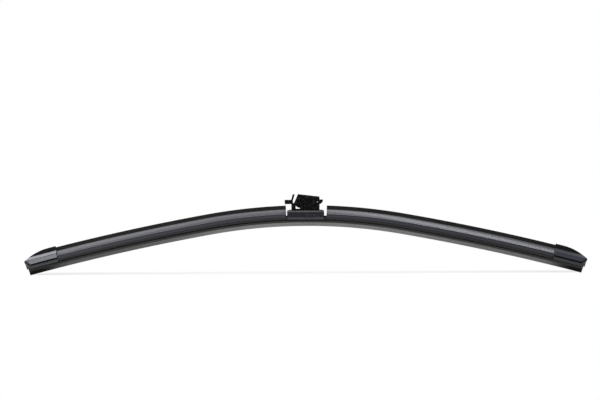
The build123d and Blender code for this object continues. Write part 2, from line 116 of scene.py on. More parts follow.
class RubberStrip(bpy.types.PropertyGroup):
    """Section of the rubber strip, from the wiping edge up."""

    half_length: length("Half length", "Half the length of the strip", 0.300)
    tip_width: length("Tip width", "Thickness of the wiping edge", 0.0008)
    lip_width: length("Lip width", "Thickness of the lip at its root", 0.0022)
    lip_top: length("Lip top", "Level of the lip's root", 0.0037)
    lip_line: length("Lip line", "Level of the fine line along the lip", 0.0020)
    line_depth: length("Line depth", "Depth of the fine line along the lip", 0.00014)
    heel_width: length("Heel width", "Width of the heel", 0.0058)
    heel_low: length("Heel low", "Level of the heel's lower corner", 0.0046)
    heel_top: length("Heel top", "Level of the heel's upper corner", 0.0062)
    neck_width: length("Neck width", "Thickness of the neck", 0.0013)
    neck_low: length("Neck low", "Lower level of the neck", 0.0066)
    flange_width: length("Flange width", "Width of the flange under the rails", 0.0068)
    flange_low: length("Flange low", "Lower level of the flange", 0.0074)
    groove_low: length("Groove low", "Lower level of the rail grooves", 0.0088)
    web_width: length("Web width", "Thickness between the rail grooves", 0.0030)
    groove_top: length("Groove top", "Upper level of the rail grooves", 0.0100)
    head_width: length("Head width", "Width of the head above the rails", 0.0052)
    head_top: length("Head top", "Level of the head's top", 0.0113)
    edge_round: length("Edge round", "Rounding of the strip's corners", 0.00025)
    coat_fade: length("Coat fade", "Height over which the graphite coat fades above the lip", 0.0006)
    # Painted shade: the lip is darkened from mid blade towards the ends, more on the left.
    lip_shade_start: length("Thin start", "Distance from mid blade where the coat starts to thin", 0.04)
    lip_shade_full: length("Thin end", "Distance from mid blade where the coat is thin", 0.20)
    # Painted shade: the lip is painted black near the strip's ends.
    end_shade_start: length("Bare run", "Distance from the strip's ends where the coat starts to stop", 0.050)
    end_shade_full: length("Bare end", "Distance from the strip's ends where there is no coat", 0.015)


class SpoilerStrip(bpy.types.PropertyGroup):
    """Section of the two spoilers."""

    half_width: length("Half width", "Half width at the skirt", 0.0074)
    claw_low: length("Claw low", "Lower level of the claws", 0.00805)
    claw_bevel: length("Claw bevel", "Bevel at the foot of the claws", 0.0006)
    claw_inset: length("Claw inset", "Setback of the claws behind the skirt", 0.00025)
    claw_top: length("Claw top", "Level where the claws meet the skirt", 0.0101)
    mouth_half: length("Mouth half width", "Half width of the mouth between the claws", 0.0045)
    slot_half: length("Rail slot half width", "Half width of the room for the rails", 0.00645)
    slot_low: length("Rail slot low", "Lower level of the room for the rails", 0.00875)
    slot_top: length("Rail slot top", "Upper level of the room for the rails", 0.01005)
    head_half: length("Head slot half width", "Half width of the room for the head", 0.00275)
    head_top: length("Head slot top", "Upper level of the room for the head", 0.01145)
    skirt_top: length("Skirt top", "Level of the front edge of the ramp", 0.0136)
    bead_low: length("Bead low", "Level of the line under the ramp's front bead", 0.0129)
    line_depth: length("Line depth", "Depth of the fine lines in the flanks", 0.00030)
    line_height: length("Line height", "Height of the fine lines in the flanks", 0.00045)
    skirt_round: length("Skirt round", "Rounding of the front edge of the ramp", 0.0004)
    back_drop: length("Back drop", "How much lower the rear edge is", 0.0006)
    ramp_top: length("Ramp top", "Level where the ramp meets the fin", 0.0180)
    ramp_hollow: length("Ramp hollow", "Depth of the ramp's hollow", 0.0009)
    ramp_round: length("Ramp round", "Rounding where the ramp meets the fin", 0.0010)
    fin_front: length("Fin front", "Front face of the fin at its tip", 0.0033)
    fin_rake: length("Fin rake", "How far the fin's root stands in front of its tip", 0.0004)
    fin_width: length("Fin width", "Thickness of the fin", 0.0013)
    fin_tip: length("Fin tip", "Level of the fin's tip", 0.0220)
    core_low: length("Core low", "Lower level of the hollow core", 0.01275)
    core_top: length("Core top", "Upper level of the hollow core", 0.0154)
    core_half: length("Core half width", "Half width of the hollow core", 0.0061)


class CapZones(bpy.types.PropertyGroup):
    """Zones of the end caps, and how they shine."""

    # The dark band at the seam over the clip is painted shade, much taller than the seam itself.
    joint_level: length("Joint level", "Level of the dark joint over the clip", 0.01105)
    shade_half: length("Joint half height", "Half the height of the dark joint", 0.0009)
    nose_start: length("Nose start", "Station where the joint starts to rise", 0.2955)
    nose_end: length("Nose end", "Station where the joint has risen", 0.3035)
    nose_rise: length("Nose rise", "Rise of the joint at the nose", 0.0052)
    steepness: share("Steepness", "Extra slope that the cap's front shows in its reflections", 0.50)
    # Painted shade: the right cap is made duller because less light falls on it.
    right_cap_shade: share("Right wear", "How much duller the right cap is than the left one", 0.70)
    edge_level: length("Edge level", "Level of the edge between front face and ramp", 0.0162)
    edge_half: length("Edge half height", "Half the height of the duller band along that edge", 0.0005)
    ridge_level: length("Ridge level", "Level where the ramp meets the fin", 0.0186)


class BladeColours(bpy.types.PropertyGroup):
    """Colours of the finishes."""

    rubber: tint("Rubber", "Rubber strip above the lip", (0.036, 0.036, 0.034))
    graphite: tint("Graphite", "Coated wiping lip", (0.225, 0.224, 0.216))
    spoiler: tint("Spoiler", "Soft spoiler", (0.017, 0.0165, 0.026))
    claw: tint("Claw", "Hard claws of the spoiler", (0.006, 0.006, 0.007))
    fin: tint("Fin", "Soft fin of the spoiler", (0.006, 0.006, 0.007))
    cap: tint("End cap", "End caps", (0.022, 0.024, 0.036))
    cap_foot: tint("Cap foot", "Matt foot of the end caps", (0.075, 0.075, 0.078))
    # Painted shade: the colour of the band along the caps' seam and of the black ends of the rubber lip.
    painted_shade: tint("Joint", "Dark joints and bare rubber", (0.003, 0.003, 0.003))
    clip: tint("End clip", "Clips under the end caps", (0.012, 0.0135, 0.019))
    cover: tint("Cover", "Cover at mid blade", (0.0055, 0.005, 0.010))
    adapter: tint("Adapter", "Adapter for the arm's hook", (0.002, 0.002, 0.0024))
    coat: tint("Coated steel", "Dip-coated bracket", (0.018, 0.018, 0.020))
    spring: tint("Spring steel", "Phosphated rails", (0.045, 0.046, 0.048))
    pin: tint("Pin steel", "Ground pin", (0.52, 0.53, 0.54))
    dust: tint("Dust", "Fine dust on the mouldings", (0.20, 0.19, 0.18))


class StudioSetup(bpy.types.PropertyGroup):
    """Camera, lights and floor."""

    frame_width: length("Frame width", "Width that the camera sees at the blade", 0.641)
    distance: length("Distance", "Distance from the camera to the blade", 2.6)
    aim_x: length("Aim X", "Where the middle of the image lies along the blade", -0.0059)
    aim_z: length("Aim Z", "Height of the middle of the image", -0.0022)
    elevation: bpy.props.FloatProperty(
        name="Elevation",
        description="How far the camera looks down",
        default=math.radians(3.5),
        subtype="ANGLE",
    )
    roll: bpy.props.FloatProperty(
        name="Roll",
        description="Turn of the camera about its own axis",
        default=math.radians(-0.28),
        subtype="ANGLE",
    )
    fill: share("Fill", "Strength of the world's soft light", 0.42)
    cool: tint("Cool light", "Colour of the soft boxes", (0.945, 0.97, 1.0))
    floor_radius: length("Floor radius", "Radius of the floor", 6.0)
    floor_gap: length("Floor gap", "Gap between the blade's ends and the floor", 0.00005)
    floor_shade: share("Floor shade", "Grey of the floor, from black to white", 0.79)
    shadow_reach: length("Shadow reach", "How far the blade's shadow shows on the floor", 0.020)
    shadow_shift: length("Shadow shift", "How far behind the blade's middle the shadow shows", 0.020)
    shadow_height: length("Shadow height", "How high over the floor a piece still shades it", 0.2)
    shadow_share: share("Shadow share", "How strongly the blade's shadow shows", 0.70)


def bend_centres(bend):
    """Centres of the middle bend and of the right outer bend, in the XZ plane."""
    middle = Vector((0, 0, bend.edge_height - bend.mid_radius))
    out = Vector((math.sin(bend.mid_half_angle), 0, math.cos(bend.mid_half_angle)))
    right = middle + (bend.mid_radius - bend.outer_radius) * out
    return middle, right


def bend_turns(bend, first, last):
    """Turns about the bend's centres that carry a section from one station to the other."""
    middle, right = bend_centres(bend)
    left = Vector((-right.x, 0, right.z))
    join = bend.mid_radius * bend.mid_half_angle
    stretches = (
        (left, bend.outer_radius, -math.inf, -join),
        (middle, bend.mid_radius, -join, join),
        (right, bend.outer_radius, join, math.inf),
    )
    ahead = last >= first
    low, high = (first, last) if ahead else (last, first)
    turns = []
    for centre, radius, start, end in stretches:
        run = min(high, end) - max(low, start)
        if run > 0:
            turns.append((centre, run / radius if ahead else -run / radius, run))
    return turns if ahead else turns[::-1]


def station_of(bend, x, level):
    """Station of a cut end in the middle stretch, from the X of its point at a level."""
    return bend.mid_radius * math.asin(x / (bend.mid_radius + level))


def deselect_all():
    """Leaves no object selected."""
    bpy.ops.object.select_all(action="DESELECT")


def start_outline(context, name, first):
    """A new mesh object in edit mode with one point."""
    deselect_all()
    bpy.ops.mesh.primitive_plane_add(size=MILLIMETRE, location=first)
    piece = context.object
    piece.name = name
    piece.data.name = name
    bpy.ops.object.transform_apply(location=True)
    bpy.ops.object.mode_set(mode="EDIT")
    bpy.ops.mesh.select_mode(type="VERT")
    bpy.ops.mesh.select_all(action="SELECT")
    bpy.ops.mesh.merge(type="CENTER")
    return piece


def draw_lines(points):
    """Extrudes the selected point from the first of the points through the others."""
    for here, there in zip(points, points[1:]):
        bpy.ops.mesh.extrude_vertices_move(TRANSFORM_OT_translate={"value": there - here})


def weld_all():
    """Selects the whole mesh and joins the vertices that lie on each other."""
    bpy.ops.mesh.select_all(action="SELECT")
    bpy.ops.mesh.remove_doubles(threshold=WELD_DISTANCE)


def select_points(piece, points):
    """Selects the mesh's vertices that lie on the points."""
    mesh = bmesh.from_edit_mesh(piece.data)
    for vertex in mesh.verts:
        vertex.select = any((vertex.co - point).length < PICK_DISTANCE for point in points)
    mesh.select_flush_mode()
    bmesh.update_edit_mesh(piece.data)


def round_corners(piece, points, radius, segments=3):
    """Bevels the outline's corners at the points."""
    select_points(piece, points)
    bpy.ops.mesh.bevel(offset=radius, segments=segments, affect="VERTICES")


def bend_section(bend, first, last):
    """Turns the section from mid blade to the first station and spins it to the last one."""
    bpy.ops.mesh.select_all(action="SELECT")
    for centre, angle, _ in bend_turns(bend, 0, first):
        bpy.ops.transform.rotate(
            value=-angle, orient_axis="Y", orient_type="GLOBAL", center_override=centre
        )
    for centre, angle, run in bend_turns(bend, first, last):
        steps = max(1, round(run / bend.span))
        bpy.ops.mesh.spin(steps=steps, angle=-angle, center=centre, axis=(0, 1, 0))
    weld_all()
    bpy.ops.mesh.normals_make_consistent(inside=False)


def finish_piece(piece, materials, node):
    """Smooths a modelled piece, gives it its materials and lets it ride in the place of a CAD node."""
    bpy.ops.object.mode_set(mode="OBJECT")
    deselect_all()
    piece.select_set(True)
    bpy.ops.object.shade_smooth_by_angle(angle=SMOOTH_ANGLE)
    for material in materials:
        piece.data.materials.append(material)
    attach(piece, BLADE_BODY)
    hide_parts(node)


class Wire:
    """A shader socket. Arithmetic on wires adds Math nodes to their material."""

    def __init__(self, finish, socket):
        self.finish = finish
        self.socket = socket

    def out(self, name):
        """Another output of the same node."""
        return Wire(self.finish, self.socket.node.outputs[name])

    def math(self, operation, first, second):
        """The result of a Math node."""
        return self.finish.node("ShaderNodeMath", {"operation": operation}, {0: first, 1: second})

    def __add__(self, other):
        return self.math("ADD", self, other)

    def __radd__(self, other):
        return self.math("ADD", other, self)

    def __sub__(self, other):
        return self.math("SUBTRACT", self, other)

    def __rsub__(self, other):
        return self.math("SUBTRACT", other, self)

    def __mul__(self, other):
        return self.math("MULTIPLY", self, other)

    def __rmul__(self, other):
        return self.math("MULTIPLY", other, self)

    def __pow__(self, other):
        return self.math("POWER", self, other)

    def __gt__(self, other):
        return self.math("GREATER_THAN", self, other)


class Finish:
    """A material under construction, or the world's shader."""

    def __init__(self, owner):
        owner.use_nodes = True
        self.owner = owner
        self.tree = owner.node_tree
        self.tree.nodes.clear()

    def node(self, kind, settings=None, sockets=None, output=0):
        """Adds a node, with its settings first and then its sockets' values or links."""
        node = self.tree.nodes.new(kind)
        for name, value in (settings or {}).items():
            setattr(node, name, value)
        for name, value in (sockets or {}).items():
            if isinstance(value, Wire):
                self.tree.links.new(value.socket, node.inputs[name])
            else:
                node.inputs[name].default_value = value
        return Wire(self, node.outputs[output]) if node.outputs else None

    def place(self):
        """X, Y and Z of the surface in the frame of the blade."""
        coordinates = self.node("ShaderNodeTexCoord", output="Object")
        x = self.node("ShaderNodeSeparateXYZ", sockets={0: coordinates}, output="X")
        return x, x.out("Y"), x.out("Z")

    def point(self, x, y, z):
        """A vector from three values."""
        return self.node("ShaderNodeCombineXYZ", sockets={"X": x, "Y": y, "Z": z})

    def noise(self, vector, scale, detail=2.0, roughness=0.5):
        """Soft noise between 0 and 1."""
        return self.node(
            "ShaderNodeTexNoise",
            {"noise_dimensions": "3D"},
            {"Vector": vector, "Scale": scale, "Detail": detail, "Roughness": roughness},
        )

    def scuffs(self, vector):
        """Soft patches of about two millimetres, 1 at their middle and 0 between them."""
        return self.step(self.noise(vector, 420, detail=3), 0.50, 0.72)

    def step(self, value, low, high):
        """0 below low and 1 above high, smooth between them. Falls instead where low is above high."""
        return self.node(
            "ShaderNodeMapRange",
            {"interpolation_type": "SMOOTHSTEP", "clamp": True},
            {"Value": value, "From Min": low, "From Max": high},
        )

    def mix(self, factor, first, second):
        """A colour between two colours."""
        sockets = {0: factor, 6: self.colour(first), 7: self.colour(second)}
        return self.node("ShaderNodeMix", {"data_type": "RGBA"}, sockets, output=2)

    @staticmethod
    def colour(value):
        """A wire as it is, or a colour property as red, green, blue and alpha."""
        return value if isinstance(value, Wire) else (*value, 1.0)

    def worn_edge(self, radius):
        """Rounded normal at sharp edges, and a mask that is 1 on them."""
        rounded = self.node("ShaderNodeBevel", {"samples": 6}, {"Radius": radius})
        flat = self.node("ShaderNodeNewGeometry", output="Normal")
        facing = self.node(
            "ShaderNodeVectorMath", {"operation": "DOT_PRODUCT"}, {0: rounded, 1: flat}, output="Value"
        )
        still_flat = 0.995
        fully_worn = 0.85
        return rounded, self.step(facing, still_flat, fully_worn)

    def bump(self, height, distance, normal=None):
        """A bumped normal."""
        sockets = {"Strength": 1.0, "Distance": distance, "Height": height}
        if normal:
            sockets["Normal"] = normal
        return self.node("ShaderNodeBump", sockets=sockets)

    def principled(self, **sockets):
        """A Principled shader. Socket names have underscores for spaces."""
        named = {name.replace("_", " "): value for name, value in sockets.items()}
        return self.node("ShaderNodeBsdfPrincipled", sockets=named)

    def shown(self):
        """1 on the rays that show the backdrop: to the eye, in reflections and through clear pieces."""
        seen = self.node("ShaderNodeLightPath", output="Is Camera Ray")
        return seen + seen.out("Is Glossy Ray") + seen.out("Is Transmission Ray") > 0.5

    def blend(self, factor, first, second):
        """A shader between two shaders."""
        return self.node("ShaderNodeMixShader", sockets={0: factor, 1: first, 2: second})

    def end(self, shader, kind="ShaderNodeOutputMaterial"):
        """Links a shader to the output and gives the finished material or world."""
        self.node(kind, sockets={"Surface": shader})
        return self.owner

    def surface(self, **sockets):
        """Ends the material in one Principled shader."""
        return self.end(self.principled(**sockets))


def new_finish(name):
    """A finish on a new material."""
    return Finish(bpy.data.materials.new(name))


def blade_level(finish, bend):
    """Level above the wiping edge, and the coordinates that it comes from."""
    x, y, z = finish.place()
    middle, right = bend_centres(bend)
    reach = (x * x) ** 0.5
    up = z - middle.z
    mid_level = (x * x + up * up) ** 0.5 - bend.mid_radius
    out = reach - right.x
    outer_up = z - right.z
    outer_level = (out * out + outer_up * outer_up) ** 0.5 - bend.outer_radius
    outside = reach > up * math.tan(bend.mid_half_angle)
    level = mid_level + (outer_level - mid_level) * outside
    return level, x, y, z


def outer_station(finish, bend, x, z):
    """Station on the outer stretches, the same on both sides."""
    _, right = bend_centres(bend)
    sides = {0: (x * x) ** 0.5 - right.x, 1: z - right.z}
    turn = finish.node("ShaderNodeMath", {"operation": "ARCTAN2"}, sides)
    return bend.mid_radius * bend.mid_half_angle + bend.outer_radius * (turn - bend.mid_half_angle)


def rubber_finish(scene):
    """Moulded rubber with a graphite-coated lip. The lip is darkened towards the ends and on the left, and
    black at the very ends, as painted shade.
    """
    colours = scene.blade_colours
    strip = scene.blade_rubber
    finish = new_finish("squeegee_rubber")
    level, x, y, z = blade_level(finish, scene.blade_bend)
    here = finish.point(x, y, z)
    lines = finish.noise(finish.point(x * 40, y * 9000, level * 9000), 1.0, detail=3)
    specks = finish.noise(here, 2600, detail=2)
    patches = finish.noise(here, 90, detail=3)
    lip = finish.step(level, strip.lip_top + strip.coat_fade, strip.lip_top)
    reach = (x * x) ** 0.5
    # Painted shade: the lip's coat is darkened from mid blade towards the ends, more on the left than on the
    # right.
    left_shade = 0.60 - 0.35 * finish.step(x, -strip.half_length / 2, strip.half_length / 2)
    lip_shade = finish.step(reach, strip.lip_shade_start, strip.lip_shade_full) * left_shade
    # Painted shade: the lip turns black near the strip's ends.
    end_shade = finish.step(reach, strip.half_length - strip.end_shade_start, strip.half_length - strip.end_shade_full)
    coat = lip * (0.72 + 0.28 * patches) * (0.8 + 0.4 * specks) * (1 - lip_shade) * (1 - end_shade)
    scuffed = finish.mix(0.10 * patches * specks, colours.rubber, colours.dust)
    return finish.surface(
        Base_Color=finish.mix(coat, finish.mix(end_shade * lip, scuffed, colours.painted_shade), colours.graphite),
        Roughness=0.46 + 0.16 * patches + 0.1 * specks,
        Normal=finish.bump(lines * 0.7 + specks * 0.3, 0.03 * MILLIMETRE),
        Specular_IOR_Level=0.08,
    )


def spoiler_finish(scene):
    """Satin extruded body of a spoiler, with darker claws."""
    colours = scene.blade_colours
    strip = scene.blade_spoiler
    finish = new_finish("spoiler_body")
    level, x, y, z = blade_level(finish, scene.blade_bend)
    here = finish.point(x, y, z)
    lines = finish.noise(finish.point(x * 12, y * 3800, level * 3800), 1.0, detail=4, roughness=0.6)
    grain = finish.noise(here, 1900, detail=2)
    cloud = finish.noise(here, 26, detail=3)
    blur = 0.1 * MILLIMETRE
    skirt = finish.step(level, strip.claw_top - blur, strip.claw_top + blur)
    ramp = finish.step(level, strip.skirt_top - 3 * blur, strip.skirt_top)
    body = finish.mix(0.16 * cloud * lines, colours.spoiler, colours.dust)
    return finish.surface(
        Base_Color=finish.mix(skirt, colours.claw, body),
        Roughness=0.34 + 0.12 * lines + 0.10 * cloud,
        Coat_Weight=ramp * (0.8 + 0.2 * lines),
        Coat_Roughness=0.42,
        Coat_IOR=1.6,
        Normal=finish.bump(lines * 0.6 + grain * 0.4, 0.02 * MILLIMETRE),
        Specular_IOR_Level=0.25,
    )


def fin_finish(scene):
    """Soft matt fin of a spoiler."""
    colours = scene.blade_colours
    finish = new_finish("spoiler_fin")
    level, x, y, z = blade_level(finish, scene.blade_bend)
    here = finish.point(x, y, z)
    lines = finish.noise(finish.point(x * 12, y * 3000, level * 3000), 1.0, detail=4)
    grain = finish.noise(here, 2200, detail=2)
    cloud = finish.noise(here, 40, detail=3)
    return finish.surface(
        Base_Color=finish.mix(0.08 * cloud, colours.fin, colours.dust),
        Roughness=0.62 + 0.18 * grain,
        Normal=finish.bump(lines * 0.5 + grain * 0.5, 0.03 * MILLIMETRE),
        Specular_IOR_Level=0.08,
    )


def cap_finish(scene):
    """Moulded cap: polished face and ramp, matt fin and foot, and a painted shade band along the seam over
    the clip that rises at the nose; the right cap is duller, as painted shade.
    """
    colours = scene.blade_colours
    cap = scene.blade_cap
    bend = scene.blade_bend
    finish = new_finish("cap_plastic")
    level, x, y, z = blade_level(finish, bend)
    here = finish.point(x, y, z)
    grain = finish.noise(here, 3200, detail=3, roughness=0.6)
    flow = finish.noise(finish.point(x * 60, y * 900, level * 900), 1.0, detail=3)
    cloud = finish.noise(here, 70, detail=2)
    rounded, worn = finish.worn_edge(0.3 * MILLIMETRE)
    risen = finish.step(outer_station(finish, bend, x, z), cap.nose_start, cap.nose_end)
    blur = 0.1 * MILLIMETRE
    over = level - cap.joint_level - cap.nose_rise * risen
    foot = finish.step(over, blur, -blur)
    # Painted shade: a dark band along the seam over the clip, rising at the nose.
    painted_shade = finish.step((over * over) ** 0.5, 1.2 * cap.shade_half, 0.7 * cap.shade_half)
    fin = finish.step(level, cap.ridge_level, cap.ridge_level + 3 * blur)
    from_edge = level - cap.edge_level
    edge = finish.step((from_edge * from_edge) ** 0.5, cap.edge_half, 0.4 * cap.edge_half)
    tone = finish.mix(fin, finish.mix(foot, colours.cap, colours.cap_foot), colours.fin)
    tone = finish.mix((0.10 * flow * cloud + 0.04 * grain) * (1 - 0.8 * fin), tone, colours.dust)
    tone = finish.mix(0.25 * worn * cloud * (1 - fin), tone, colours.dust)
    matt = finish.principled(
        Base_Color=finish.mix(painted_shade, tone, colours.painted_shade),
        Roughness=0.50 + 0.12 * grain + 0.35 * painted_shade,
        Normal=finish.bump(grain, 0.01 * MILLIMETRE, normal=rounded),
        Specular_IOR_Level=0.06,
    )
    slope = cap.steepness * y
    polished = finish.principled(
        Base_Color=tone,
        Roughness=0.20 + 0.06 * grain + 0.05 * flow,
        IOR=1.6,
        Normal=finish.bump(slope + 0.004 * MILLIMETRE * flow, 1.0, normal=rounded),
    )
    # Painted shade: the right cap keeps less of its polish than the left one.
    right_side = x > 0
    shine = (1 - fin) * (1 - foot) * (1 - painted_shade) * (1 - 0.35 * edge) * (1 - cap.right_cap_shade * right_side)
    return finish.end(finish.blend(shine, matt, polished))


def cover_finish(scene):
    """Grained cover with a polished rim and foot."""
    colours = scene.blade_colours
    finish = new_finish("cover_plastic")
    low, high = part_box("connector_cover")
    x, y, z = finish.place()
    here = finish.point(x, y, z)
    grain = finish.noise(here, 2800, detail=3, roughness=0.6)
    cloud = finish.noise(here, 110, detail=3)
    rounded, worn = finish.worn_edge(0.3 * MILLIMETRE)
    foot_height = 2.0 * MILLIMETRE
    rim_height = 1.7 * MILLIMETRE
    foot = finish.step(z, low.z + foot_height + 0.3 * MILLIMETRE, low.z + foot_height)
    rim = finish.step(z, high.z - rim_height, high.z - rim_height + 0.6 * MILLIMETRE)
    polish = 0.24 * foot + rim * (0.25 + cloud)
    haze = 0.04 * cloud + 0.02 * grain + 0.12 * finish.scuffs(here)
    tone = finish.mix(haze, colours.cover, colours.dust)
    return finish.surface(
        Base_Color=finish.mix(0.25 * worn * cloud, tone, colours.dust),
        Roughness=0.46 + 0.12 * grain + 0.08 * cloud - 0.12 * polish,
        Coat_Weight=polish,
        Coat_Roughness=0.25,
        Coat_IOR=1.8,
        Normal=finish.bump(grain, 0.018 * MILLIMETRE, normal=rounded),
        Specular_IOR_Level=0.12,
    )


def moulded_finish(name, colour, dust, dusty, scuffed, roughness, grain_size, grain_depth, shine, edge):
    """Moulded plastic or a dipped coat: fine grain, flow marks, dust, scuffs and worn edges."""
    finish = new_finish(name)
    x, y, z = finish.place()
    here = finish.point(x, y, z)
    grain = finish.noise(here, 1 / grain_size, detail=3, roughness=0.6)
    flow = finish.noise(finish.point(x * 60, y * 240, z * 240), 1.0, detail=3)
    cloud = finish.noise(here, 70, detail=2)
    rounded, worn = finish.worn_edge(edge)
    haze = dusty * (0.12 * flow * cloud + 0.05 * grain)
    tone = finish.mix(haze + scuffed * finish.scuffs(here), colour, dust)
    return finish.surface(
        Base_Color=finish.mix(0.35 * worn * cloud, tone, dust),
        Roughness=roughness - 0.05 + 0.08 * flow + 0.06 * grain - 0.06 * worn,
        Normal=finish.bump(grain, grain_depth, normal=rounded),
        Specular_IOR_Level=shine,
    )


def steel_finish(name, colour, roughness, along, across, depth):
    """Bare steel with fine lines, so many to the metre along the blade and across it."""
    finish = new_finish(name)
    x, y, z = finish.place()
    lines = finish.noise(finish.point(x * along, y * across, z * across), 1.0, detail=4, roughness=0.65)
    cloud = finish.noise(finish.point(x, y, z), 180, detail=3)
    rounded, worn = finish.worn_edge(0.1 * MILLIMETRE)
    dark = [channel * 0.45 for channel in colour]
    return finish.surface(
        Base_Color=finish.mix(0.5 * cloud + 0.3 * lines, colour, dark),
        Metallic=0.85 + 0.15 * worn,
        Roughness=roughness + 0.18 * lines + 0.08 * cloud,
        Normal=finish.bump(lines, depth, normal=rounded),
    )


class BLADE_OT_wiper_rubber(bpy.types.Operator):
    """Models the rubber strip: its section traced point by point, filled and spun along the bend"""

    bl_idname = "blade.wiper_rubber"
    bl_label = "Rubber strip"

    def execute(self, context):
        scene = context.scene
        strip = scene.blade_rubber
        bend = scene.blade_bend
        flare = (strip.lip_width - strip.tip_width) / 2 / strip.lip_top
        line_half = strip.tip_width / 2 + flare * strip.lip_line
        half_section = [
            (strip.tip_width / 2, 0.0),
            (line_half - flare * strip.line_depth, strip.lip_line - strip.line_depth),
            (line_half - strip.line_depth, strip.lip_line),
            (line_half + flare * strip.line_depth, strip.lip_line + strip.line_depth),
            (strip.lip_width / 2, strip.lip_top),
            (strip.heel_width / 2, strip.heel_low),
            (strip.heel_width / 2, strip.heel_top),
            (strip.neck_width / 2, strip.neck_low),
            (strip.neck_width / 2, strip.flange_low),
            (strip.flange_width / 2, strip.flange_low),
            (strip.flange_width / 2, strip.groove_low),
            (strip.web_width / 2, strip.groove_low),
            (strip.web_width / 2, strip.groove_top),
            (strip.head_width / 2, strip.groove_top),
            (strip.head_width / 2, strip.head_top),
        ]
        right = [Vector((0, y, bend.edge_height + level)) for y, level in half_section]
        left = [Vector((0, -point.y, point.z)) for point in reversed(right)]
        corners = right + left
        piece = start_outline(context, "rubber_strip", corners[0])
        draw_lines(corners + corners[:1])
        weld_all()
        round_corners(piece, corners[4:-4], strip.edge_round)
        bpy.ops.mesh.select_all(action="SELECT")
        bpy.ops.mesh.edge_face_add()
        bend_section(bend, -strip.half_length, strip.half_length)
        finish_piece(piece, [rubber_finish(scene)], "wiper_rubber")
        return {"FINISHED"}


